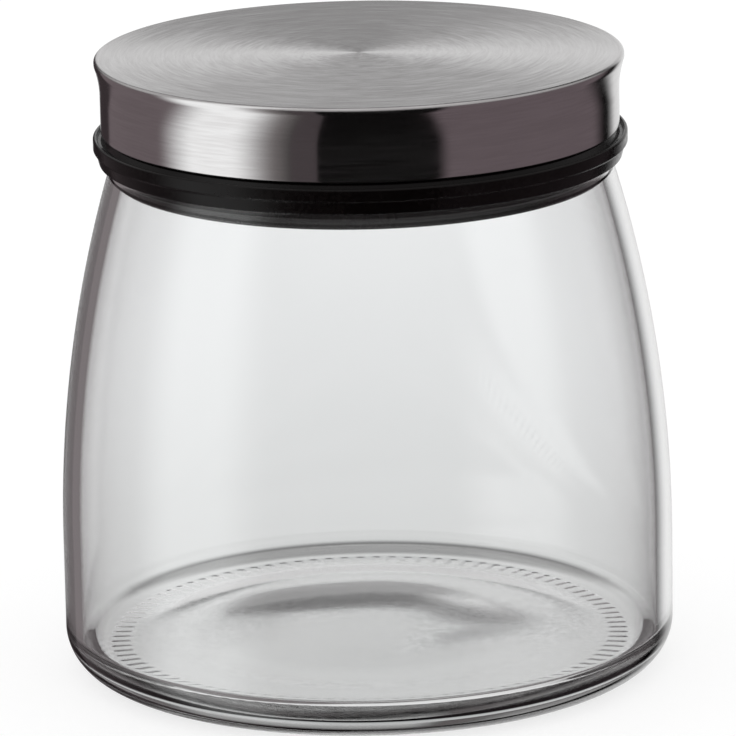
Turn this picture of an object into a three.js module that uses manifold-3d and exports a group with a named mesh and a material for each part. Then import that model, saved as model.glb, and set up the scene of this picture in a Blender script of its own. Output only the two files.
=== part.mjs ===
// Glass storage canister with a brushed steel push-in lid and a black lip seal.
// Millimetres, +Z up, origin at the centre of the bearing ring that the jar stands on.

import * as THREE from "three";
import { mergeVertices } from "three/addons/utils/BufferGeometryUtils.js";
import Module from "manifold-3d";

// Facets around every turned piece. A multiple of four keeps the widths along X and Y equal.
const SEGMENTS = 56;

// Clearance between pieces that touch on the real object
const FIT = 0.3;

// Jar: outside
const JAR_HEIGHT = 94.3;
const BODY_RADIUS = 56;
const WIDEST_HEIGHT = 24; // below this the wall is upright, above it the wall bends in
const RIM_RADIUS = 45.4; // outside of the wall at the height of the rim, before it is rounded
const HEEL_RADIUS = 8;

// Jar: base and inside
const WALL = 3; // the rim is a full round of this thickness
const BEARING_WIDTH = 4; // flat ring that the jar stands on
const BASE_RECESS = 0.4; // the base inside that ring lies this much higher
const RECESS_SLOPE = 9; // width over which the base rises inside the ring
const PUSH_UP_RADIUS = 34;
const PUSH_UP_RISE = 2;
const PUSH_UP_BLEND = 6; // width over which the push-up runs out
const FLOOR = 6.2; // glass over the recessed base
const FLOOR_RISE = 0.8; // the floor follows the push-up by a shallower dome
const INNER_CORNER = 2.2;

// Steel cap
const CAP_HEIGHT = 13.6;
const SKIRT_OVERHANG = 1.6; // the skirt stands out this far past the rim radius
const SHEET = 0.6;
const BEAD_PROUD = 0.95;
const BEAD_HEIGHT = 1;
const BEAD_ROUND = 0.6;
const FLARE_HEIGHT = 5.8; // from the bead down to the plain skirt
const HEM_WIDTH = 2.2; // turned in under the insert's shoulder
const HEM_ROUND = 0.35;

// Seal ring
const SEAL_HEIGHT = 5.2; // from the rim to the cap
const PLUG_DEPTH = 3.8; // below the rim, inside the mouth
const PLUG_WALL = 1.6;
const FIN_PROUD = 0.5; // fin round the foot of the plug
const FIN_HEIGHT = 1.1;
const LIP_PROUD = 1.45; // past the skirt
const LIP_HEIGHT = 2.1;
const LIP_DROP = 0.45; // the lip's edge lies this far below the top of the ring
const LIP_EDGE = 0.4; // rounding of the lip's edge
const CUP_DEPTH = 0.7; // groove between the lip's edge and the skirt
const BAND_PROUD = 0.4; // foot of the band below the lip, past the skirt
const BAND_TAPER = 0.55; // the band widens by this much up to the lip
const TONGUE_HEIGHT = 1.5;
const TONGUE_DEPTH = 1.2;

// Insert
const INSERT_WALL = 1.8;
const INSERT_CHAMFER = 0.6;
const RIB_COUNT = 8;
const RIB_THICKNESS = 1.5;

// Points along each kind of curve
const WALL_STEPS = 10;
const CORNER_STEPS = 5;
const RIM_STEPS = 8;
const ROUND_STEPS = 4;
const DOME_STEPS = 8;
const FLARE_STEPS = 6;

const wasm = await Module();
wasm.setup();

const point = (radius, height) => new THREE.Vector2(radius, height);

// Points on an arc in the radius-height plane. Angles are in radians from the radius axis.
function arc(radius, height, size, from, to, steps) {
  return Array.from({ length: steps + 1 }, (_, i) => {
    const angle = from + ((to - from) * i) / steps;
    return point(radius + size * Math.cos(angle), height + size * Math.sin(angle));
  });
}

// A shallow dome from the axis out to its edge, where it runs out into the flat round it
function dome(radius, rise, edgeHeight) {
  const turn = radius - PUSH_UP_BLEND;
  const steepest = (2 * rise) / radius;
  return Array.from({ length: DOME_STEPS + 1 }, (_, i) => {
    const reach = (radius * i) / DOME_STEPS;
    const crown = rise - (steepest * reach ** 2) / (2 * turn);
    const runOut = (steepest * (radius - reach) ** 2) / (2 * PUSH_UP_BLEND);
    return point(reach, edgeHeight + (reach < turn ? crown : runOut));
  });
}

// A closed solid of revolution about Z. The profile runs with the solid on its left.
function revolve(profile) {
  const geometry = new THREE.LatheGeometry(profile, SEGMENTS);
  geometry.rotateX(Math.PI / 2);
  return geometry;
}

function toSolid(geometry) {
  const bare = geometry.clone();
  bare.deleteAttribute("normal");
  bare.deleteAttribute("uv");
  const merged = mergeVertices(bare, 1e-3);
  const vertProperties = new Float32Array(merged.attributes.position.array);
  const triVerts = new Uint32Array(merged.index.array);
  return new wasm.Manifold(new wasm.Mesh({ numProp: 3, vertProperties, triVerts }));
}

function fromSolid(solid) {
  const mesh = solid.getMesh();
  const geometry = new THREE.BufferGeometry();
  geometry.setAttribute("position", new THREE.BufferAttribute(mesh.vertProperties, mesh.numProp));
  geometry.setIndex(new THREE.BufferAttribute(mesh.triVerts, 1));
  geometry.computeVertexNormals();
  return geometry;
}

function part(name, geometry, material) {
  const mesh = new THREE.Mesh(geometry, new THREE.MeshStandardMaterial(material));
  mesh.name = name;
  return mesh;
}

// The wall above the widest height is an arc that starts upright and reaches the rim radius at the rim.
const shoulderRise = JAR_HEIGHT - WIDEST_HEIGHT;
const shoulderDraw = BODY_RADIUS - RIM_RADIUS;
const shoulder = (shoulderRise ** 2 + shoulderDraw ** 2) / (2 * shoulderDraw);
const shoulderCentre = BODY_RADIUS - shoulder;

// The rim is a half circle that runs on from the wall's two faces, centred on the middle of the wall.
const rimRound = WALL / 2;
const rimRoundHeight = JAR_HEIGHT - rimRound;
const wallMiddle = shoulder - rimRound;
const rimAngle = Math.asin((rimRoundHeight - WIDEST_HEIGHT) / wallMiddle);
const rimRoundRadius = shoulderCentre + wallMiddle * Math.cos(rimAngle);
const mouthRadius = rimRoundRadius - rimRound;

// The lid is stacked on the rim: seal, cap, then the insert between them.
const seatHeight = JAR_HEIGHT + FIT;
const sealTop = seatHeight + SEAL_HEIGHT;
const plugBottom = seatHeight - PLUG_DEPTH;
const capBottom = sealTop + FIT;
const capTop = capBottom + CAP_HEIGHT;
const skirtRadius = RIM_RADIUS + SKIRT_OVERHANG;
const plugRadius = mouthRadius - FIT;
const sealBore = plugRadius - PLUG_WALL;
const tongueBore = sealBore - TONGUE_DEPTH;
const tongueMiddle = (seatHeight + sealTop) / 2;

function glassJar() {
  const bearingOuter = BODY_RADIUS - HEEL_RADIUS;
  const bearingInner = bearingOuter - BEARING_WIDTH;
  const floorHeight = BASE_RECESS + FLOOR;
  const insideRadius = BODY_RADIUS - WALL;
  const cornerRadius = insideRadius - INNER_CORNER;
  const base = [
    ...dome(PUSH_UP_RADIUS, PUSH_UP_RISE, BASE_RECESS),
    point(bearingInner - RECESS_SLOPE, BASE_RECESS),
    point(bearingInner, 0),
  ];
  const outside = [
    ...arc(bearingOuter, HEEL_RADIUS, HEEL_RADIUS, -Math.PI / 2, 0, CORNER_STEPS),
    ...arc(shoulderCentre, WIDEST_HEIGHT, shoulder, 0, rimAngle, WALL_STEPS),
  ];
  const rimEnd = Math.PI + rimAngle;
  const rim = arc(rimRoundRadius, rimRoundHeight, rimRound, rimAngle, rimEnd, RIM_STEPS).slice(1);
  const inside = [
    ...arc(shoulderCentre, WIDEST_HEIGHT, shoulder - WALL, rimAngle, 0, WALL_STEPS).slice(1),
    ...arc(cornerRadius, floorHeight + INNER_CORNER, INNER_CORNER, 0, -Math.PI / 2, CORNER_STEPS),
    ...dome(PUSH_UP_RADIUS, FLOOR_RISE, floorHeight).reverse(),
  ];
  return revolve([...base, ...outside, ...rim, ...inside]);
}

// One face of the sheet from the hem up to the bead: plain skirt, then a smooth flare
function flare(inset) {
  const flareBottom = capTop - BEAD_HEIGHT - FLARE_HEIGHT;
  return Array.from({ length: FLARE_STEPS + 1 }, (_, i) => {
    const share = i / FLARE_STEPS;
    return point(skirtRadius - inset + BEAD_PROUD * share ** 2, flareBottom + FLARE_HEIGHT * share);
  });
}

function lidCap() {
  const beadRadius = skirtRadius + BEAD_PROUD;
  const hemRadius = skirtRadius - HEM_WIDTH;
  return revolve([
    point(0, capTop - SHEET),
    point(beadRadius - SHEET, capTop - SHEET),
    ...flare(SHEET).reverse(),
    point(skirtRadius - SHEET, capBottom + SHEET),
    point(hemRadius, capBottom + SHEET),
    point(hemRadius, capBottom),
    ...arc(skirtRadius - HEM_ROUND, capBottom + HEM_ROUND, HEM_ROUND, -Math.PI / 2, 0, 2),
    ...flare(0),
    ...arc(beadRadius - BEAD_ROUND, capTop - BEAD_ROUND, BEAD_ROUND, 0, Math.PI / 2, ROUND_STEPS),
    point(0, capTop),
  ]);
}

function sealRing() {
  const neckRadius = plugRadius - FIN_PROUD;
  const fin = FIN_HEIGHT / 2;
  const bandFoot = skirtRadius + BAND_PROUD;
  const lipRadius = skirtRadius + LIP_PROUD;
  const lipTop = sealTop - LIP_DROP;
  const lipFoot = lipTop - LIP_HEIGHT;
  const cupRadius = (skirtRadius + lipRadius - LIP_EDGE) / 2;
  const tongue = TONGUE_HEIGHT / 2;
  const plug = [
    point(sealBore, plugBottom),
    point(neckRadius, plugBottom),
    ...arc(plugRadius - fin, plugBottom + fin, fin, -Math.PI / 4, Math.PI / 2, ROUND_STEPS),
    point(neckRadius, plugBottom + FIN_HEIGHT + FIN_PROUD),
    point(neckRadius, seatHeight),
  ];
  const band = [
    point(bandFoot - LIP_EDGE, seatHeight),
    point(bandFoot, seatHeight + LIP_EDGE),
    point(bandFoot + BAND_TAPER, lipFoot - LIP_EDGE),
    point(lipRadius, lipFoot),
  ];
  const lip = [
    ...arc(lipRadius - LIP_EDGE, lipTop - LIP_EDGE, LIP_EDGE, 0, (Math.PI * 3) / 4, ROUND_STEPS),
    point(cupRadius, lipTop - CUP_DEPTH),
    point(skirtRadius, lipTop - CUP_DEPTH),
    point(skirtRadius - CUP_DEPTH, sealTop),
    point(sealBore, sealTop),
  ];
  const snap = [
    point(sealBore, tongueMiddle + tongue + TONGUE_DEPTH / 2),
    point(tongueBore, tongueMiddle + tongue),
    point(tongueBore, tongueMiddle - tongue),
    point(sealBore, tongueMiddle - tongue - TONGUE_DEPTH / 2),
    point(sealBore, plugBottom),
  ];
  return revolve([...plug, ...band, ...lip, ...snap]);
}

function lidInsert() {
  const rimOuter = skirtRadius - SHEET - FIT;
  const waist = skirtRadius - HEM_WIDTH - FIT;
  const spigot = sealBore - FIT;
  const groove = tongueBore - FIT;
  const top = capTop - SHEET - FIT;
  const shoulderHeight = capBottom + SHEET + FIT;
  const underside = plugBottom + FIT;
  const grooveHalf = TONGUE_HEIGHT / 2 + FIT;
  const grooveSlope = TONGUE_DEPTH / 2;
  const outside = revolve([
    point(0, underside),
    point(spigot - INSERT_CHAMFER, underside),
    point(spigot, underside + INSERT_CHAMFER),
    point(spigot, tongueMiddle - grooveHalf - grooveSlope),
    point(groove, tongueMiddle - grooveHalf),
    point(groove, tongueMiddle + grooveHalf),
    point(spigot, tongueMiddle + grooveHalf + grooveSlope),
    point(spigot, capBottom),
    point(waist, capBottom),
    point(waist, shoulderHeight),
    point(rimOuter, shoulderHeight),
    point(rimOuter, top - INSERT_CHAMFER),
    point(rimOuter - INSERT_CHAMFER, top),
    point(0, top),
  ]);
  const above = top + INSERT_WALL;
  const wellRadius = groove - INSERT_WALL;
  const panRadius = rimOuter - INSERT_WALL;
  const panHeight = shoulderHeight + INSERT_WALL;
  const hollow = revolve([
    point(0, underside + INSERT_WALL),
    point(wellRadius, underside + INSERT_WALL),
    point(wellRadius, panHeight),
    point(panRadius, panHeight),
    point(panRadius, above),
    point(0, above),
  ]);
  // Each rib runs right across, so half as many bars make all the ribs.
  const ribHeight = above - underside;
  let space = toSolid(hollow);
  for (let i = 0; i < RIB_COUNT / 2; i++) {
    const bar = new THREE.BoxGeometry(2 * rimOuter, RIB_THICKNESS, 2 * ribHeight);
    bar.rotateZ((2 * Math.PI * i) / RIB_COUNT);
    bar.translate(0, 0, underside + ribHeight);
    space = space.subtract(toSolid(bar));
  }
  return fromSolid(toSolid(outside).subtract(space));
}

const glass = { color: 0xdfe4e2, roughness: 0.05, metalness: 0, transparent: true, opacity: 0.35 };
const brushedSteel = { color: 0xa8a5a3, roughness: 0.32, metalness: 1 };
const blackPlastic = { color: 0x141214, roughness: 0.55, metalness: 0 };
const blackRubber = { color: 0x1a1517, roughness: 0.45, metalness: 0 };

const canister = new THREE.Group();
canister.name = "storage_canister";
canister.add(part("glass_jar", glassJar(), glass));

const lid = new THREE.Group();
lid.add(part("lid_cap", lidCap(), brushedSteel));
lid.add(part("lid_insert", lidInsert(), blackPlastic));
lid.add(part("seal_ring", sealRing(), blackRubber));
canister.add(lid);

export default canister;
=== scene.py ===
"""Glass storage canister with a push-in steel lid, laid out as an add-on and run as a script."""

import math

import bpy
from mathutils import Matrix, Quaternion, Vector


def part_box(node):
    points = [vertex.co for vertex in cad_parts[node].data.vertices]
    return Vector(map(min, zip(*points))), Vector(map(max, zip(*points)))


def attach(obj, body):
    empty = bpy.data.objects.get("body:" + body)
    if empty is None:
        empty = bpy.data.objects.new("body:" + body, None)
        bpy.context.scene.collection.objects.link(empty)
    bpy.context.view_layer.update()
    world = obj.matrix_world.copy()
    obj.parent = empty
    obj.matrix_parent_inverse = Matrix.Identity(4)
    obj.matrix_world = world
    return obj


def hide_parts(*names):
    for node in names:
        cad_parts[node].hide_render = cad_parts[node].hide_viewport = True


bl_info = {
    "name": "Glass storage canister",
    "version": (1, 0, 0),
    "blender": (4, 5, 0),
    "location": "View3D > Sidebar > Canister",
    "description": "Makes the glass jar, the steel cap, the seal and the stage round the packed frame",
    "category": "Object",
}

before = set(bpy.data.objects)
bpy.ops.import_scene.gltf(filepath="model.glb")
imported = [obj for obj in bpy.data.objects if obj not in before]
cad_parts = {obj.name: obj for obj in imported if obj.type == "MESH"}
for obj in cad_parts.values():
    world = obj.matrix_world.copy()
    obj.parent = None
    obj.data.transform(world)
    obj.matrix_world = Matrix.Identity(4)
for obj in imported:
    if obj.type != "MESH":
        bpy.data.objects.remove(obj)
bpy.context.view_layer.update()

MM = 0.001
JAR_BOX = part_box("glass_jar")
CAP_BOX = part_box("lid_cap")
SEAL_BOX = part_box("seal_ring")

# Points this close to a corner keep the shading of the flats beside it flat. Short runs go without.
GUARD = 0.2 * MM
SHORT_RUN = 4 * GUARD
# Points this close are one point of an outline, or one vertex of a turned piece.
SAME_POINT = 0.001 * MM
SAME_VERTEX = 0.002 * MM

# Steps along the curves of the outlines.
FINE_STEP = math.radians(5)
ROUND_STEP = math.radians(15)
WALL_STEP = math.radians(0.8)
DOME_STEPS = 36
FLARE_STEPS = 16
RING_STEPS = 10

# Only points of the glass below this height are its underside.
UNDERSIDE_TOP = 4 * MM
# A groove between two knurls fades out over this length at each end.
KNURL_FADE = 0.5 * MM
# Levels of the wave round the ring at the edge of a bar and at the bottom of a groove.
GROOVE_WAVE = (0.4, -0.7)
# The swirl has its full depth inside the inner radius of the ring divided by the core.
SWIRL_SEED = 24.0
SWIRL_CORE = 3.0
PLAIN_UNDERSIDE = {"Knurl Count": 1, "Knurl Depth": 0.0, "Swirl": 0.0}

# Noises of the finishes: scale per metre, and detail.
STIPPLE_NOISE = (900.0, 2.0)
PRESSING_NOISE = (25.0, 0.0)
BLOOM_NOISE = (90.0, 4.0)
SWIRL_NOISE = (20.0, 1.0)
GRAIN_DETAIL = 2.0
# Levels that most of a noise lies between.
NOISE_RANGE = (0.3, 0.7)
NOISE_MEAN = 0.5
STREAK_RANGE = (0.32, 0.68)
BLOOM_RANGE = (0.15, 0.4)

# Share of the floor's thickness that is stippled, and the slight waves of the pressing.
STIPPLED_SHARE = 0.75
PRESSING_STRENGTH = 0.02
PRESSING_DEPTH = 1.0 * MM

# Marks of the brushing: how fine they are across the rings, per metre, and their waves round a ring.
BRUSHING = (
    {"fineness": 2600.0, "waves": 5.0, "detail": 3.0, "weight": 0.7},
    {"fineness": 420.0, "waves": 2.0, "detail": 2.0, "weight": 0.3},
)
BRUSHING_CONTRAST = 0.6
BRUSHING_HUB = 0.01 * MM
ACROSS_THE_RINGS = 0.25
ROUGHNESS_SWING = 0.03

# Moulded blacks: mean roughness, grain per metre, strength of the grain and gloss.
SEAL_FINISH = {"roughness": 0.18, "grain": 1500.0, "grain_strength": 0.02, "gloss": 0.15}
INSERT_FINISH = {"roughness": 0.55, "grain": 2500.0, "grain_strength": 0.3, "gloss": 0.5}
GRAIN_ROUGHNESS = (-0.05, 0.08)
GRAIN_DEPTH = 0.05 * MM

# Panels of the studio that shine in the steel. The side is in degrees from -Y towards +X, and the
# height in degrees from the level. Soft is the width of the two upright edges.
PANELS = (
    {"side": (-190, 190), "soft": (1, 1), "height": (54, 126), "colour": (0.8, 0.79, 0.79)},
    {"side": (-165, 140), "soft": (20, 20), "height": (15, 70), "colour": (0.6, 0.59, 0.59)},
    {"side": (-172, -144), "soft": (10, 3), "height": (-70, 50), "colour": (0.045, 0.035, 0.038)},
    {"side": (-148, -86), "soft": (3, 10), "height": (-70, 50), "colour": (0.195, 0.16, 0.17)},
    {"side": (-60, -33), "soft": (4, 18), "height": (-70, 60), "colour": (0.24, 0.22, 0.22)},
    {"side": (-60, -19), "soft": (4, 1.5), "height": (-70, 60), "colour": (0.085, 0.07, 0.075)},
    {"side": (-90, -49), "soft": (24, 24), "height": (-70, 70), "colour": (1.36, 1.38, 1.38)},
    {"side": (37, 132), "soft": (8, 16), "height": (-70, 50), "colour": (0.173, 0.138, 0.15)},
    {"side": (149, 190), "soft": (16, 1), "height": (-70, 20), "colour": (0.86, 0.86, 0.86)},
    {"side": (-190, -172), "soft": (1, 8), "height": (-70, 20), "colour": (0.86, 0.86, 0.86)},
)
PANEL_FADE = (24, 24)
DARK = (0.004, 0.0035, 0.0035)

# What shows through the glass, in degrees from the level: where the table runs up into the backdrop,
# the band of the table close to the foot with its soft edges, which holds a painted shadow of the
# jar, and where the ceiling dims.
TABLE_SWEEP = (-17.5, -13)
FOOT_SHADOW_BAND = (-56, -36)
FOOT_SHADOW_SOFT = (8, 12)
CEILING_FADE = (15, 40)

# Light inside the glass: its paleness, and how it is lost as it turns back again and again.
FIRST_TURN = 0.5
TURNED_SATURATION = 0.5
DEEP_INSIDE = 2.5
LOST_TURNS = (1.5, 5.0)
LOST_SHARE = 0.8

FLOOR_SIDES = 128
FLOOR_DROP = 0.02 * MM
SENSOR_WIDTH = 36.0

# Sockets of a Mix node that takes colours.
MIX_LOW = 6
MIX_HIGH = 7
MIX_RESULT = 2


def length(name, description, millimetres):
    """A length in metres whose default is given in millimetres."""
    return bpy.props.FloatProperty(
        name=name, description=description, default=millimetres * MM, min=0.0,
        unit="LENGTH", precision=5
    )


def angle(name, description, degrees):
    """An angle in radians whose default is given in degrees."""
    return bpy.props.FloatProperty(
        name=name, description=description, default=math.radians(degrees), unit="ROTATION"
    )


def colour(name, description, default):
    """A linear colour."""
    return bpy.props.FloatVectorProperty(
        name=name, description=description, default=default, min=0.0, max=1.0, size=3, subtype="COLOR"
    )


def share(name, description, default):
    """A number from 0 to 1."""
    return bpy.props.FloatProperty(
        name=name, description=description, default=default, min=0.0, max=1.0, subtype="FACTOR"
    )


def amount(name, description, default):
    """A number from 0 up. Of a brightness, 1 is white."""
    return bpy.props.FloatProperty(name=name, description=description, default=default, min=0.0)


def count(name, description, default):
    """A whole number."""
    return bpy.props.IntProperty(name=name, description=description, default=default, min=1)


class GlassSettings(bpy.types.PropertyGroup):
    """Sizes and colour of the pressed glass."""

    radius: length("Radius", "Widest radius of the jar", JAR_BOX[1].x / MM)
    height: length("Height", "Height of the rim", JAR_BOX[1].z / MM)
    widest: length("Widest height", "Height at which the wall starts to narrow", 24.0)
    rim_radius: length("Rim radius", "Outer radius that the wall reaches at the rim", 45.4)
    wall: length("Wall", "Thickness of the wall", 3.0)
    heel: length("Heel", "Radius of the heel", 8.0)
    inner_corner: length("Inner corner", "Radius between the inner wall and the floor", 2.2)
    floor: length("Floor", "Thickness of the floor", 6.2)
    floor_rise: length("Floor rise", "Height of the dome in the floor", 0.8)
    recess: length("Recess", "Height of the base inside the bearing ring", 0.4)
    recess_width: length("Recess width", "Width over which the base rises inside the bearing ring", 9.0)
    push_up_radius: length("Push-up radius", "Radius of the dome under the base", 34.0)
    push_up_rise: length("Push-up rise", "Height of the dome under the base", 2.0)
    push_up_blend: length("Push-up blend", "Width over which the dome runs out", 6.0)
    bearing: length("Bearing ring", "Width of the ring that the jar stands on", 4.0)
    knurl_count: count("Knurls", "Short bars pressed round the bearing ring", 96)
    knurl_depth: length("Knurl depth", "Depth of the grooves between the bars", 0.07)
    swirl: length("Swirl", "How far the underside rises and falls, from the gather of the glass", 4.0)
    stipple: share("Stipple", "Roughness of the underside, from the mould", 0.2)
    facets: count("Facets", "Facets round the glass", 480)
    ior: amount("IOR", "Index of refraction", 1.51)
    depth_colour: colour("Depth colour", "Colour of the glass where it is deep", (0.53, 0.535, 0.53))
    depth_density: amount("Depth density", "How fast the glass darkens with depth, per metre", 12.0)


class LidSettings(bpy.types.PropertyGroup):
    """Sizes and colours of the cap, the insert and the seal."""

    sheet: length("Sheet", "Thickness of the steel", 0.6)
    skirt_radius: length("Skirt radius", "Outer radius of the plain skirt", 47.0)
    bead_height: length("Bead height", "Height of the proud bead round the top", 1.0)
    bead_round: length("Bead round", "Radius of the top edge", 0.6)
    flare_height: length("Flare height", "Height over which the skirt swells to the bead", 5.8)
    hem_width: length("Hem width", "Width of the hem turned in under the insert", 2.2)
    hem_round: length("Hem round", "Radius of the fold at the foot of the skirt", 0.35)
    seal_seat: length("Seal seat", "Height of the flange that lies on the rim", 94.6)
    seal_bore: length("Seal bore", "Inner radius of the seal", 40.89)
    plug_radius: length("Plug radius", "Outer radius of the plug's fin, spread against the glass", 43.2)
    fin: length("Fin", "How far the fin stands out from the plug", 1.21)
    fin_height: length("Fin height", "Height of the fin at the foot of the plug", 0.9)
    band_proud: length("Band", "How far the band stands out from the skirt at its foot", 0.4)
    band_taper: length("Band taper", "How far the band widens to the lip", 0.55)
    lip_height: length("Lip height", "Height of the outer lip", 2.1)
    lip_drop: length("Lip drop", "How far the lip lies under the top of the seal", 0.45)
    lip_edge: length("Lip edge", "Radius of the lip's edge", 0.4)
    cup_depth: length("Cup depth", "Depth of the channel inside the lip", 0.7)
    tongue_height: length("Tongue height", "Height of the tongue in the insert's groove", 1.5)
    tongue_depth: length("Tongue depth", "How far the tongue stands in from the bore", 1.2)
    facets: count("Facets", "Facets round the lid", 360)
    steel: colour("Steel", "Colour of the steel", (0.62, 0.61, 0.61))
    steel_dark: colour("Steel streaks", "Colour of the brushing's darker streaks", (0.55, 0.535, 0.535))
    roughness: share("Steel roughness", "Mean roughness of the brushed top", 0.21)
    skirt_roughness: share("Skirt roughness", "Mean roughness of the brushed skirt", 0.13)
    lean: angle("Brushing lean", "Mean lean of the brushing's grooves to the middle", 1.8)
    seal: colour("Seal", "Colour of the soft black ring", (0.003, 0.002, 0.002))
    seal_bloom: colour("Seal bloom", "Colour of the bloom on the soft ring", (0.006, 0.0045, 0.0045))
    plastic: colour("Plastic", "Colour of the moulded insert", (0.014, 0.013, 0.014))
    plastic_worn: colour("Plastic grain", "Colour of the insert's paler grain", (0.034, 0.032, 0.033))


class StageSettings(bpy.types.PropertyGroup):
    """Camera, floor and light."""

    distance: length("Distance", "Camera's level distance from the axis", 1151.0)
    camera_height: length("Camera height", "Height of the camera", 353.6)
    lens: bpy.props.FloatProperty(name="Lens", description="Focal length", default=318.0, unit="CAMERA")
    aim_side: length("Aim side", "How far right of the axis the camera aims", 0.61)
    aim_height: length("Aim height", "Height that the camera aims at", 54.74)
    roll: angle("Roll", "Turn of the camera about its own axis", 1.08)
    floor_radius: length("Floor radius", "Radius of the round white floor", 3000.0)
    floor_colour: colour("Floor", "Colour of the floor", (0.35, 0.35, 0.35))
    floor_glow: amount("Floor glow", "White that the floor adds to the light on it", 0.76)
    fill: amount("Fill", "Light from all round on dull surfaces", 0.8)
    backdrop: colour("Backdrop", "White that the glass shows behind it", (0.925, 0.94, 0.945))
    table: colour("Table", "White of the table that the glass shows", (0.752, 0.765, 0.762))
    # A painted shadow of the jar: the share of the table's white that the glass shows close to the
    # foot.
    foot_shadow: amount("Contact", "Share of the table's white seen close to the foot", 0.32)
    ceiling: amount("Ceiling", "Level that the glass shows above it", 0.1)
    depth: colour("Depth", "Least light that is turned back inside the glass", (0.2, 0.165, 0.172))


class Wiring:
    """Short calls that add nodes to a tree and link them."""

    def __init__(self, tree):
        self.tree = tree

    def add(self, kind, feeds=None, **settings):
        """A new node with its settings made and its inputs fed."""
        node = self.tree.nodes.new(kind)
        for name, value in settings.items():
            setattr(node, name, value)
        for name, value in (feeds or {}).items():
            self.feed(node.inputs[name], value)
        return node

    def feed(self, socket, value):
        """Links a socket, or sets its value."""
        if isinstance(value, bpy.types.NodeSocket):
            self.tree.links.new(value, socket)
        else:
            socket.default_value = value

    def math(self, operation, *values):
        """The output of a Math node."""
        node = self.tree.nodes.new("ShaderNodeMath")
        node.operation = operation
        for socket, value in zip(node.inputs, values):
            self.feed(socket, value)
        return node.outputs[0]

    def product(self, first, *others):
        """Several values multiplied together."""
        for value in others:
            first = self.math("MULTIPLY", first, value)
        return first

    def ease(self, value, low, high, start=0.0, end=1.0):
        """A value mapped smoothly from one range to another."""
        feeds = {"Value": value, "From Min": low, "From Max": high, "To Min": start, "To Max": end}
        return self.add("ShaderNodeMapRange", feeds, interpolation_type="SMOOTHSTEP").outputs["Result"]

    def mix(self, factor, low, high, blend="MIX"):
        """A colour between two others."""
        node = self.add("ShaderNodeMix", {"Factor": factor}, data_type="RGBA", blend_type=blend)
        self.feed(node.inputs[MIX_LOW], low)
        self.feed(node.inputs[MIX_HIGH], high)
        return node.outputs[MIX_RESULT]

    def noise(self, place, scale, detail):
        """The level of a noise at a place."""
        feeds = {"Vector": place, "Scale": scale, "Detail": detail}
        return self.add("ShaderNodeTexNoise", feeds).outputs["Fac"]

    def split(self, place):
        """The three coordinates of a place."""
        return self.add("ShaderNodeSeparateXYZ", {"Vector": place}).outputs

    def gather(self, x, y, z=0.0):
        """A place from its coordinates."""
        return self.add("ShaderNodeCombineXYZ", {"X": x, "Y": y, "Z": z}).outputs["Vector"]

    def reach(self, point):
        """How far a point lies from the Z axis."""
        flat = self.gather(point["X"], point["Y"])
        return self.add("ShaderNodeVectorMath", {"Vector": flat}, operation="LENGTH").outputs["Value"]


def opaque(colour_value):
    """A colour with full alpha."""
    return (*colour_value, 1.0)


def grey(value):
    """A grey of that level."""
    return (value, value, value, 1.0)


def bare_tree(owner):
    """The emptied node tree of a material or a world, ready for wiring."""
    owner.use_nodes = True
    owner.node_tree.nodes.clear()
    return Wiring(owner.node_tree)


def new_finish(name):
    """A material with an empty Principled shader, and what is needed to wire it."""
    material = bpy.data.materials.new(name)
    wires = bare_tree(material)
    shader = wires.add("ShaderNodeBsdfPrincipled")
    output = wires.add("ShaderNodeOutputMaterial", {"Surface": shader.outputs["BSDF"]})
    return material, wires, shader, output


def object_position(wires):
    """Object coordinates, in metres."""
    return wires.add("ShaderNodeTexCoord").outputs["Object"]


def tilt_shading(wires, shader, height, strength, depth):
    """Lets a height tilt the shading of a finish."""
    bump = wires.add("ShaderNodeBump", {"Height": height, "Strength": strength, "Distance": depth})
    wires.feed(shader.inputs["Normal"], bump.outputs["Normal"])


def ring_marks(wires, point, reach, marks):
    """A noise drawn out into rings about Z, fine across the rings and slow along them."""
    radius = wires.math("MAXIMUM", reach, BRUSHING_HUB)
    across = wires.product(wires.math("SUBTRACT", radius, point["Z"]), marks["fineness"])
    along_x = wires.product(wires.math("DIVIDE", point["X"], radius), marks["waves"])
    along_y = wires.product(wires.math("DIVIDE", point["Y"], radius), marks["waves"])
    feeds = {"Vector": wires.gather(across, along_x, along_y), "Scale": 1.0, "Detail": marks["detail"]}
    noise = wires.add("ShaderNodeTexNoise", {**feeds, "Roughness": BRUSHING_CONTRAST}).outputs["Fac"]
    return wires.product(noise, marks["weight"])


def clear_glass(glass):
    """Colourless glass, grey where deep, with slight waves of pressing and a stippled underside."""
    material, wires, shader, output = new_finish("clear_glass")
    shader.inputs["Base Color"].default_value = grey(1.0)
    shader.inputs["IOR"].default_value = glass.ior
    shader.inputs["Transmission Weight"].default_value = 1.0
    place = object_position(wires)
    point = wires.split(place)
    bearing = glass.radius - glass.heel
    below = wires.math("LESS_THAN", point["Z"], glass.recess + STIPPLED_SHARE * glass.floor)
    within = wires.ease(wires.reach(point), bearing, bearing - glass.bearing / 2)
    stipple = wires.noise(place, *STIPPLE_NOISE)
    dull = wires.ease(stipple, *NOISE_RANGE, glass.stipple / 2, glass.stipple)
    wires.feed(shader.inputs["Roughness"], wires.product(below, within, dull))
    waves = wires.noise(place, *PRESSING_NOISE)
    tilt_shading(wires, shader, waves, PRESSING_STRENGTH, PRESSING_DEPTH)
    depth = wires.add("ShaderNodeVolumeAbsorption")
    depth.inputs["Color"].default_value = opaque(glass.depth_colour)
    depth.inputs["Density"].default_value = glass.depth_density
    wires.feed(output.inputs["Volume"], depth.outputs["Volume"])
    return material


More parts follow.
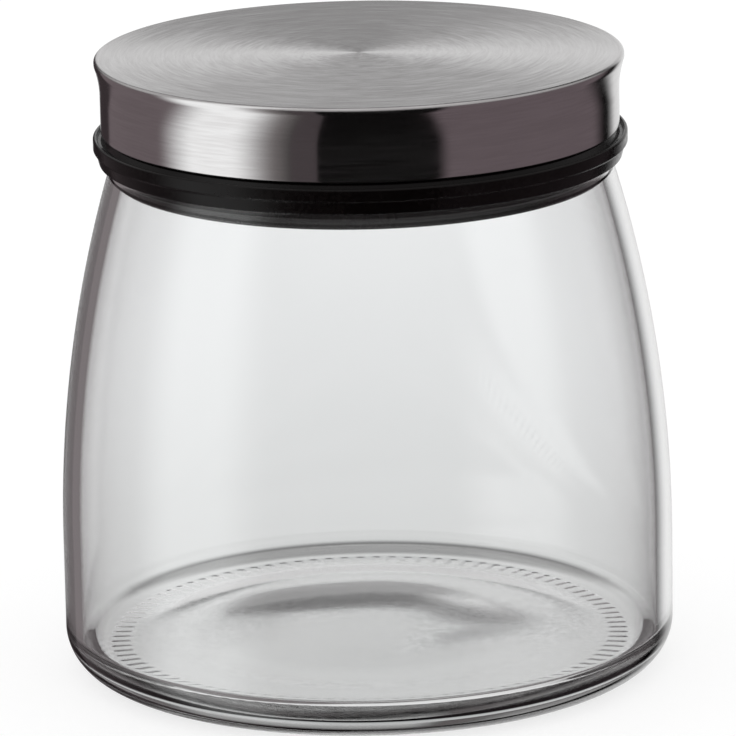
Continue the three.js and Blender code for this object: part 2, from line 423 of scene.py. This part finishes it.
def brushed_steel(lid):
    """Steel brushed in circles: long fine streaks, with highlights drawn out across them."""
    material, wires, shader, _ = new_finish("brushed_steel")
    shader.inputs["Metallic"].default_value = 1.0
    shader.inputs["Anisotropic"].default_value = 1.0
    shader.inputs["Anisotropic Rotation"].default_value = ACROSS_THE_RINGS
    tangent = wires.add("ShaderNodeTangent", direction_type="RADIAL", axis="Z")
    wires.feed(shader.inputs["Tangent"], tangent.outputs["Tangent"])
    point = wires.split(object_position(wires))
    reach = wires.reach(point)
    fine, broad = [ring_marks(wires, point, reach, marks) for marks in BRUSHING]
    streaks = wires.math("ADD", fine, broad)
    tone = wires.ease(streaks, *STREAK_RANGE)
    wires.feed(shader.inputs["Base Color"], wires.mix(tone, opaque(lid.steel_dark), opaque(lid.steel)))
    brim = CAP_BOX[1].z
    mean = wires.ease(point["Z"], brim - lid.bead_height, brim, lid.skirt_roughness, lid.roughness)
    swing = wires.ease(streaks, *NOISE_RANGE, ROUGHNESS_SWING, -ROUGHNESS_SWING)
    wires.feed(shader.inputs["Roughness"], wires.math("ADD", mean, swing))
    # A height that grows with the radius shades the top as the leaning grooves do.
    tilt_shading(wires, shader, reach, 1.0, math.tan(lid.lean))
    return material


def soft_black(name, dark, pale, roughness, grain, grain_strength, gloss):
    """A black moulded finish: a pale bloom in patches, a fine grain and a roughness that follows it."""
    material, wires, shader, _ = new_finish(name)
    place = object_position(wires)
    bloom = wires.noise(place, *BLOOM_NOISE)
    fine = wires.noise(place, grain, GRAIN_DETAIL)
    tone = wires.ease(wires.product(bloom, fine), *BLOOM_RANGE)
    wires.feed(shader.inputs["Base Color"], wires.mix(tone, opaque(dark), opaque(pale)))
    smoother, rougher = [roughness + change for change in GRAIN_ROUGHNESS]
    wires.feed(shader.inputs["Roughness"], wires.ease(fine, *NOISE_RANGE, smoother, rougher))
    tilt_shading(wires, shader, fine, grain_strength, GRAIN_DEPTH)
    shader.inputs["Specular IOR Level"].default_value = gloss
    return material


def arc(centre, radius, start, end, step):
    """Points of an arc, both ends included, with guard points where its chords are long."""
    steps = max(2, math.ceil(abs(end - start) / step))
    angles = [start + (end - start) * i / steps for i in range(steps + 1)]
    guard = math.copysign(GUARD / radius, end - start)
    if radius * step > SHORT_RUN:
        angles = [angles[0], angles[0] + guard, *angles[1:-1], angles[-1] - guard, angles[-1]]
    x, y = centre
    return [Vector((x + radius * math.cos(a), y + radius * math.sin(a))) for a in angles]


def straight(start, end):
    """Points of a straight line, with a guard point near each end."""
    start, end = Vector(start), Vector(end)
    span = end - start
    if span.length < SHORT_RUN:
        return [start, end]
    step = span.normalized() * GUARD
    return [start, start + step, end - step, end]


def fillet(before, corner, after, radius, step):
    """Points of the arc that rounds a corner."""
    to_before = (before - corner).normalized()
    to_after = (after - corner).normalized()
    half = to_before.angle(to_after) / 2
    centre = corner + (to_before + to_after).normalized() * radius / math.sin(half)
    first = corner + to_before * radius / math.tan(half) - centre
    last = corner + to_after * radius / math.tan(half) - centre
    turn = math.atan2(first.x * last.y - first.y * last.x, first.dot(last))
    start = math.atan2(first.y, first.x)
    return arc(centre, radius, start, start + turn, step)


def rounded(corners, closed=False, step=ROUND_STEP):
    """An outline through corners given as radius, height and rounding."""
    places = [Vector(corner[:2]) for corner in corners]
    runs = []
    for i, (place, corner) in enumerate(zip(places, corners)):
        inner = closed or 0 < i < len(corners) - 1
        if corner[2] > 0 and inner:
            runs.append(fillet(places[i - 1], place, places[(i + 1) % len(places)], corner[2], step))
        else:
            runs.append([place])
    outline = list(runs[0])
    for run in runs[1:] + ([runs[0][:1]] if closed else []):
        outline += straight(outline[-1], run[0])[1:]
        outline += run[1:]
    return outline


def join(*runs):
    """Runs of points as one outline, with points that repeat left out."""
    outline = [Vector(runs[0][0])]
    for run in runs:
        outline += [p for p in map(Vector, run) if (p - outline[-1]).length > SAME_POINT]
    return outline


def dome(radius, rise, height, blend):
    """Points of a round dome from the axis to its edge, where it blends into the flat round it."""
    steep = 2 * rise / radius
    turn = radius - blend
    points = []
    for i in range(DOME_STEPS + 1):
        reach = radius * i / DOME_STEPS
        if reach < turn:
            lift = rise - steep * reach ** 2 / (2 * turn)
        else:
            lift = steep * (radius - reach) ** 2 / (2 * blend)
        points.append(Vector((reach, height + lift)))
    return points


def base_ring(glass):
    """Points from the base inside the bearing ring, down to the ring and across it."""
    ring = glass.radius - glass.heel - glass.bearing
    start = ring - glass.recess_width
    slope = []
    flat = []
    for i in range(RING_STEPS + 1):
        height = glass.recess * (1 + math.cos(math.pi * i / RING_STEPS)) / 2
        slope.append((start + glass.recess_width * i / RING_STEPS, height))
        flat.append((ring + glass.bearing * i / RING_STEPS, 0))
    return slope + flat


def jar_outline(glass):
    """The glass from the middle of its underside, round wall and rim, to the middle of its floor."""
    rise = glass.height - glass.widest
    draw = glass.radius - glass.rim_radius
    shoulder = (rise ** 2 + draw ** 2) / (2 * draw)
    centre = (glass.radius - shoulder, glass.widest)
    rim = glass.wall / 2
    rim_height = glass.height - rim
    rim_angle = math.asin((rim_height - glass.widest) / (shoulder - rim))
    rim_centre = (centre[0] + (shoulder - rim) * math.cos(rim_angle), rim_height)
    bearing = glass.radius - glass.heel
    inside = glass.radius - glass.wall
    floor_height = glass.recess + glass.floor
    corner = inside - glass.inner_corner
    corner_height = floor_height + glass.inner_corner
    return join(
        dome(glass.push_up_radius, glass.push_up_rise, glass.recess, glass.push_up_blend),
        base_ring(glass),
        arc((bearing, glass.heel), glass.heel, -math.pi / 2, 0, FINE_STEP),
        straight((glass.radius, glass.heel), (glass.radius, glass.widest)),
        arc(centre, shoulder, 0, rim_angle, WALL_STEP),
        arc(rim_centre, rim, rim_angle, math.pi + rim_angle, 2 * FINE_STEP),
        arc(centre, shoulder - glass.wall, rim_angle, 0, WALL_STEP),
        straight((inside, glass.widest), (inside, corner_height)),
        arc((corner, corner_height), glass.inner_corner, 0, -math.pi / 2, FINE_STEP),
        straight((corner, floor_height), (glass.push_up_radius, floor_height)),
        dome(glass.push_up_radius, glass.floor_rise, floor_height, glass.push_up_blend)[::-1],
    )


def cap_outline(lid):
    """The sheet of the cap from the middle of its underside, round the hem and the bead, to its top."""
    bottom, top = CAP_BOX[0].z, CAP_BOX[1].z
    bead = CAP_BOX[1].x
    proud = bead - lid.skirt_radius
    foot = top - lid.bead_height - lid.flare_height
    hem = lid.skirt_radius - lid.hem_width
    inner_top = top - lid.sheet

    def flare(inset):
        skirt = lid.skirt_radius - inset
        steps = [i / FLARE_STEPS for i in range(FLARE_STEPS + 1)]
        return [(skirt + proud * step ** 2, foot + lid.flare_height * step, 0) for step in steps]

    return rounded([
        (0, inner_top, 0),
        (bead - lid.sheet, inner_top, lid.bead_round / 2),
        *flare(lid.sheet)[::-1],
        (lid.skirt_radius - lid.sheet, bottom + lid.sheet, lid.hem_round / 2),
        (hem, bottom + lid.sheet, lid.sheet / 4),
        (hem, bottom, lid.sheet / 4),
        (lid.skirt_radius, bottom, lid.hem_round),
        *flare(0),
        (bead, top, lid.bead_round),
        (0, top, 0),
    ])


def seal_outline(lid):
    """The soft ring: plug with its fin, band, cupped lip and the tongue that snaps into the insert."""
    bottom, top = SEAL_BOX[0].z, SEAL_BOX[1].z
    lip = SEAL_BOX[1].x
    neck = lid.plug_radius - lid.fin
    band_foot = lid.skirt_radius + lid.band_proud
    lip_top = top - lid.lip_drop
    lip_foot = lip_top - lid.lip_height
    cup = (lid.skirt_radius + lip - lid.lip_edge) / 2
    middle = (lid.seal_seat + top) / 2
    tongue = lid.tongue_height / 2
    slope = lid.tongue_depth / 2
    tongue_bore = lid.seal_bore - lid.tongue_depth
    soft = lid.lip_edge
    fine = soft / 4
    lip_width = 1.5 * soft
    return rounded([
        (lid.seal_bore, bottom, fine),
        (lid.plug_radius - lid.fin_height / 2, bottom, soft),
        (lid.plug_radius, bottom + lid.fin_height / 2, soft),
        (lid.plug_radius - fine, bottom + lid.fin_height, soft),
        (neck, bottom + lid.fin_height + lid.fin, fine),
        (neck, lid.seal_seat, fine),
        (band_foot, lid.seal_seat, soft),
        (band_foot + lid.band_taper, lip_foot - soft, soft / 2),
        (lip, lip_foot, soft / 2),
        (lip, lip_top, soft),
        (lip - lip_width, lip_top, soft / 2),
        (cup, lip_top - lid.cup_depth, fine),
        (lid.skirt_radius, lip_top - lid.cup_depth, fine),
        (lid.skirt_radius - lid.cup_depth, top, fine),
        (lid.seal_bore, top, fine),
        (lid.seal_bore, middle + tongue + slope, fine),
        (tongue_bore, middle + tongue, soft / 2),
        (tongue_bore, middle - tongue, soft / 2),
        (lid.seal_bore, middle - tongue - slope, fine),
    ], closed=True)


def underside_lift(wires, given, point, turn, flat):
    """How far the underside is raised by the grooves between the knurls and by the swirl."""
    ring_inner = given["Knurl Inner Radius"]
    ring_outer = given["Knurl Outer Radius"]
    under = wires.math("LESS_THAN", point["Z"], UNDERSIDE_TOP)
    # The grooves fade out at both ends, and the floor above is left alone.
    wave = wires.math("COSINE", wires.product(turn, given["Knurl Count"]))
    inner = wires.ease(point["X"], ring_inner, wires.math("ADD", ring_inner, KNURL_FADE))
    outer = wires.ease(point["X"], ring_outer, wires.math("SUBTRACT", ring_outer, KNURL_FADE))
    extent = wires.product(inner, outer, under)
    groove = wires.product(wires.ease(wave, *GROOVE_WAVE), extent, given["Knurl Depth"])
    scale, detail = SWIRL_NOISE
    feeds = {"Vector": flat, "W": SWIRL_SEED, "Scale": scale, "Detail": detail}
    swirl = wires.add("ShaderNodeTexNoise", feeds, noise_dimensions="4D").outputs["Fac"]
    swirl = wires.math("SUBTRACT", swirl, NOISE_MEAN)
    calm = wires.ease(point["X"], ring_inner, wires.math("DIVIDE", ring_inner, SWIRL_CORE))
    swirl = wires.product(swirl, wires.product(calm, under), given["Swirl"])
    return wires.math("ADD", groove, swirl)


def turning_tree():
    """The node tree that turns an outline about Z and presses knurls and a swirl into its underside."""
    tree = bpy.data.node_groups.new("turned_piece", "GeometryNodeTree")
    inputs = (
        ("Outline", "NodeSocketGeometry"),
        ("Facets", "NodeSocketInt"),
        ("Knurl Count", "NodeSocketInt"),
        ("Knurl Depth", "NodeSocketFloat"),
        ("Knurl Inner Radius", "NodeSocketFloat"),
        ("Knurl Outer Radius", "NodeSocketFloat"),
        ("Swirl", "NodeSocketFloat"),
        ("Finish", "NodeSocketMaterial"),
    )
    for name, kind in inputs:
        tree.interface.new_socket(name, in_out="INPUT", socket_type=kind)
    tree.interface.new_socket("Piece", in_out="OUTPUT", socket_type="NodeSocketGeometry")
    wires = Wiring(tree)
    given = wires.add("NodeGroupInput").outputs
    outline = given["Outline"]
    rows = wires.add("GeometryNodeAttributeDomainSize", {"Geometry": outline}).outputs["Point Count"]
    columns = wires.math("ADD", given["Facets"], 1)
    feeds = {"Vertices X": columns, "Vertices Y": rows}
    sheet = wires.add("GeometryNodeMeshGrid", feeds).outputs["Mesh"]
    # Each column of the grid is the outline at one turn about Z.
    index = wires.add("GeometryNodeInputIndex").outputs["Index"]
    column = wires.math("FLOOR", wires.math("DIVIDE", index, rows))
    row = wires.math("SUBTRACT", index, wires.product(column, rows))
    place = wires.add("GeometryNodeInputPosition").outputs["Position"]
    sample = wires.add("GeometryNodeSampleIndex", {"Geometry": outline}, data_type="FLOAT_VECTOR")
    wires.feed(sample.inputs["Value"], place)
    wires.feed(sample.inputs["Index"], row)
    point = wires.split(sample.outputs["Value"])
    turn = wires.product(wires.math("DIVIDE", column, given["Facets"]), math.tau)
    x = wires.product(point["X"], wires.math("COSINE", turn))
    y = wires.product(point["X"], wires.math("SINE", turn))
    lift = underside_lift(wires, given, point, turn, wires.gather(x, y))
    turned = wires.gather(x, y, wires.math("ADD", point["Z"], lift))
    shaped = wires.add("GeometryNodeSetPosition", {"Geometry": sheet, "Position": turned})
    feeds = {"Geometry": shaped.outputs["Geometry"], "Distance": SAME_VERTEX}
    closed = wires.add("GeometryNodeMergeByDistance", feeds)
    smooth = wires.add("GeometryNodeSetShadeSmooth", {"Geometry": closed.outputs["Geometry"]})
    real = wires.add("GeometryNodeRealizeInstances", {"Geometry": smooth.outputs["Geometry"]})
    feeds = {"Geometry": real.outputs["Geometry"], "Material": given["Finish"]}
    finished = wires.add("GeometryNodeSetMaterial", feeds)
    wires.add("NodeGroupOutput", {"Piece": finished.outputs["Geometry"]})
    return tree


def turn_piece(name, outline, finish, facets, underside=PLAIN_UNDERSIDE):
    """A turned piece as a plain mesh at the origin."""
    sketch = bpy.data.meshes.new(name + "_outline")
    points = [(max(p.x, 0.0), 0.0, p.y) for p in outline]
    sketch.from_pydata(points, [(i, i + 1) for i in range(len(points) - 1)], [])
    piece = bpy.data.objects.new(name, sketch)
    bpy.context.scene.collection.objects.link(piece)
    tree = bpy.data.node_groups.get("turned_piece") or turning_tree()
    values = {"Facets": facets, "Finish": finish, **underside}
    modifier = piece.modifiers.new("Turned", "NODES")
    modifier.node_group = tree
    for item in tree.interface.items_tree:
        if item.in_out == "INPUT" and item.name in values:
            modifier[item.identifier] = values[item.name]
    bpy.context.view_layer.update()
    evaluated = piece.evaluated_get(bpy.context.evaluated_depsgraph_get())
    mesh = bpy.data.meshes.new_from_object(evaluated)
    if not mesh.polygons:
        raise RuntimeError(f"{name} has no faces")
    piece.modifiers.remove(modifier)
    piece.data = mesh
    mesh.name = name
    bpy.data.meshes.remove(sketch)
    return piece


def settle(piece, body, node):
    """Puts a piece in place of its node, on its body."""
    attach(piece, body)
    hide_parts(node)


class CANISTER_OT_glass_jar(bpy.types.Operator):
    """Press the glass jar, with the knurled ring that it stands on"""

    bl_idname = "canister.glass_jar"
    bl_label = "Glass jar"

    def execute(self, context):
        glass = context.scene.canister_glass
        outer = glass.radius - glass.heel
        underside = {
            "Knurl Count": glass.knurl_count,
            "Knurl Depth": glass.knurl_depth,
            "Knurl Inner Radius": outer - glass.bearing,
            "Knurl Outer Radius": outer,
            "Swirl": glass.swirl,
        }
        piece = turn_piece("jar_glass", jar_outline(glass), clear_glass(glass), glass.facets, underside)
        settle(piece, "jar", "glass_jar")
        return {"FINISHED"}


class CANISTER_OT_steel_cap(bpy.types.Operator):
    """Draw the steel cap, with its bead, flare and hem"""

    bl_idname = "canister.steel_cap"
    bl_label = "Steel cap"

    def execute(self, context):
        lid = context.scene.canister_lid
        piece = turn_piece("cap_steel", cap_outline(lid), brushed_steel(lid), lid.facets)
        settle(piece, "lid", "lid_cap")
        return {"FINISHED"}


class CANISTER_OT_seal_ring(bpy.types.Operator):
    """Mould the soft ring, with its plug, cupped lip and tongue"""

    bl_idname = "canister.seal_ring"
    bl_label = "Seal ring"

    def execute(self, context):
        lid = context.scene.canister_lid
        finish = soft_black("black_silicone", lid.seal, lid.seal_bloom, **SEAL_FINISH)
        piece = turn_piece("seal_soft", seal_outline(lid), finish, lid.facets)
        settle(piece, "lid", "seal_ring")
        return {"FINISHED"}


class CANISTER_OT_insert(bpy.types.Operator):
    """Give the moulded insert its finish"""

    bl_idname = "canister.insert"
    bl_label = "Insert"

    def execute(self, context):
        lid = context.scene.canister_lid
        finish = soft_black("black_plastic", lid.plastic, lid.plastic_worn, **INSERT_FINISH)
        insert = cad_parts["lid_insert"]
        insert.data.materials.clear()
        insert.data.materials.append(finish)
        return {"FINISHED"}


def between(wires, value, limits, soft):
    """1 between two angles and 0 outside them, with soft edges; all four are in degrees."""
    low, high = map(math.radians, limits)
    rise, fall = [math.radians(edge) / 2 for edge in soft]
    start = wires.ease(value, low - rise, low + rise)
    end = wires.ease(value, high + fall, high - fall)
    return wires.product(start, end)


def panel_light(wires, side, height):
    """What the steel shows: the panels, and dark between them."""
    light = opaque(DARK)
    for panel in PANELS:
        across = between(wires, side, panel["side"], panel["soft"])
        spot = wires.product(across, between(wires, height, panel["height"], PANEL_FADE))
        light = wires.mix(spot, light, opaque(panel["colour"]), "LIGHTEN")
    return light


def through_light(wires, stage, height):
    """What shows straight through the glass: the white behind and the table, darker at the foot in a
    painted shadow of the jar.
    """
    sweep = wires.ease(height, *map(math.radians, TABLE_SWEEP))
    # The jar's shadow on the table close to its foot is painted in here as a darker band, seen through
    # the glass.
    foot_shadow = between(wires, height, FOOT_SHADOW_BAND, FOOT_SHADOW_SOFT)
    below = wires.math("MULTIPLY_ADD", foot_shadow, stage.foot_shadow - 1.0, 1.0)
    above = wires.ease(height, *map(math.radians, CEILING_FADE), 1.0, stage.ceiling)
    light = wires.mix(sweep, opaque(stage.table), opaque(stage.backdrop))
    return wires.mix(1.0, light, wires.product(above, below), "MULTIPLY")


def turned_light(wires, stage, ray, shine):
    """What light turned back inside the glass shows: the panels, and dark after many turns."""
    light = wires.mix(1.0, shine, opaque(stage.depth), "LIGHTEN")
    feeds = {"Saturation": TURNED_SATURATION, "Color": light}
    light = wires.add("ShaderNodeHueSaturation", feeds).outputs["Color"]
    inside = wires.math("GREATER_THAN", ray["Transmission Depth"], DEEP_INSIDE)
    lost = wires.product(inside, wires.ease(ray["Glossy Depth"], *LOST_TURNS, 0.0, LOST_SHARE))
    return wires.mix(lost, light, opaque(DARK))


def studio_world(stage):
    """The studio: white behind the object, and panels round it for the steel to show."""
    world = bpy.data.worlds.new("studio")
    wires = bare_tree(world)
    way = wires.split(wires.add("ShaderNodeTexCoord").outputs["Generated"])
    side = wires.math("ARCTAN2", way["X"], wires.product(way["Y"], -1.0))
    height = wires.math("ARCSINE", way["Z"])
    ray = wires.add("ShaderNodeLightPath").outputs
    shine = panel_light(wires, side, height)
    unturned = wires.math("LESS_THAN", ray["Glossy Depth"], FIRST_TURN)
    straight_through = wires.product(ray["Is Transmission Ray"], unturned)
    light = wires.mix(ray["Is Glossy Ray"], grey(stage.fill), shine)
    light = wires.mix(ray["Is Transmission Ray"], light, turned_light(wires, stage, ray, shine))
    light = wires.mix(straight_through, light, through_light(wires, stage, height))
    light = wires.mix(ray["Is Camera Ray"], light, grey(1.0))
    light = wires.add("ShaderNodeBackground", {"Color": light})
    wires.add("ShaderNodeOutputWorld", {"Surface": light.outputs["Background"]})
    return world


def floor_finish(stage):
    """A dull white that shows its own glow to the camera, so that only the object's shadow marks it."""
    material = bpy.data.materials.new("white_floor")
    wires = bare_tree(material)
    ray = wires.add("ShaderNodeLightPath").outputs
    seen = wires.product(ray["Is Camera Ray"], stage.floor_glow)
    dull = wires.add("ShaderNodeBsdfDiffuse", {"Color": opaque(stage.floor_colour)})
    glow = wires.add("ShaderNodeEmission", {"Strength": seen})
    both = wires.add("ShaderNodeAddShader")
    for socket, part in zip(both.inputs, (dull, glow)):
        wires.feed(socket, part.outputs[0])
    wires.add("ShaderNodeOutputMaterial", {"Surface": both.outputs["Shader"]})
    return material


def white_floor(stage):
    """A round white floor under the object, which steel and glass look past into the studio."""
    ring = []
    for i in range(FLOOR_SIDES):
        turn = math.tau * i / FLOOR_SIDES
        x = stage.floor_radius * math.cos(turn)
        y = stage.floor_radius * math.sin(turn)
        ring.append((x, y, -FLOOR_DROP))
    mesh = bpy.data.meshes.new("floor")
    mesh.from_pydata(ring, [], [list(range(FLOOR_SIDES))])
    mesh.materials.append(floor_finish(stage))
    floor = bpy.data.objects.new("floor", mesh)
    bpy.context.scene.collection.objects.link(floor)
    floor.visible_glossy = False
    floor.visible_transmission = False


def stage_camera(stage):
    """The camera, aimed at the object and rolled a little."""
    lens = bpy.data.cameras.new("camera")
    lens.lens = stage.lens
    lens.sensor_width = SENSOR_WIDTH
    camera = bpy.data.objects.new("camera", lens)
    place = Vector((0.0, -stage.distance, stage.camera_height))
    aim = Vector((stage.aim_side, 0.0, stage.aim_height)) - place
    roll = Quaternion((0.0, 0.0, 1.0), -stage.roll)
    camera.rotation_mode = "QUATERNION"
    camera.location = place
    camera.rotation_quaternion = aim.to_track_quat("-Z", "Y") @ roll
    return camera


class CANISTER_OT_stage(bpy.types.Operator):
    """Set the camera, the white floor and the studio"""

    bl_idname = "canister.stage"
    bl_label = "Stage"

    def execute(self, context):
        scene = context.scene
        stage = scene.canister_stage
        scene.view_settings.view_transform = "Standard"
        # Light runs along inside the heel and the base by many reflections.
        scene.cycles.glossy_bounces = scene.cycles.max_bounces
        scene.world = studio_world(stage)
        white_floor(stage)
        camera = stage_camera(stage)
        scene.collection.objects.link(camera)
        scene.camera = camera
        return {"FINISHED"}


PANEL_ROWS = (
    ("canister_glass", ("canister.glass_jar",)),
    ("canister_lid", ("canister.steel_cap", "canister.seal_ring", "canister.insert")),
    ("canister_stage", ("canister.stage",)),
)


class VIEW3D_PT_canister(bpy.types.Panel):
    """Sizes, finishes and steps of the canister"""

    bl_idname = "VIEW3D_PT_canister"
    bl_label = "Canister"
    bl_space_type = "VIEW_3D"
    bl_region_type = "UI"
    bl_category = "Canister"

    def draw(self, context):
        for group, operators in PANEL_ROWS:
            settings = getattr(context.scene, group)
            box = self.layout.box()
            for name in settings.__annotations__:
                box.prop(settings, name)
            for operator in operators:
                box.operator(operator)


SETTINGS = {
    "canister_glass": GlassSettings,
    "canister_lid": LidSettings,
    "canister_stage": StageSettings,
}
CLASSES = (
    *SETTINGS.values(),
    CANISTER_OT_glass_jar,
    CANISTER_OT_steel_cap,
    CANISTER_OT_seal_ring,
    CANISTER_OT_insert,
    CANISTER_OT_stage,
    VIEW3D_PT_canister,
)


def register():
    """Adds the settings, the operators and the panel to Blender."""
    for item in CLASSES:
        bpy.utils.register_class(item)
    for name, group in SETTINGS.items():
        setattr(bpy.types.Scene, name, bpy.props.PointerProperty(type=group))


def unregister():
    """Takes them away again."""
    for name in SETTINGS:
        delattr(bpy.types.Scene, name)
    for item in reversed(CLASSES):
        bpy.utils.unregister_class(item)


def main():
    """Makes every piece and the stage."""
    register()
    bpy.ops.canister.glass_jar()
    bpy.ops.canister.steel_cap()
    bpy.ops.canister.seal_ring()
    bpy.ops.canister.insert()
    bpy.ops.canister.stage()


if __name__ == "__main__":
    main()
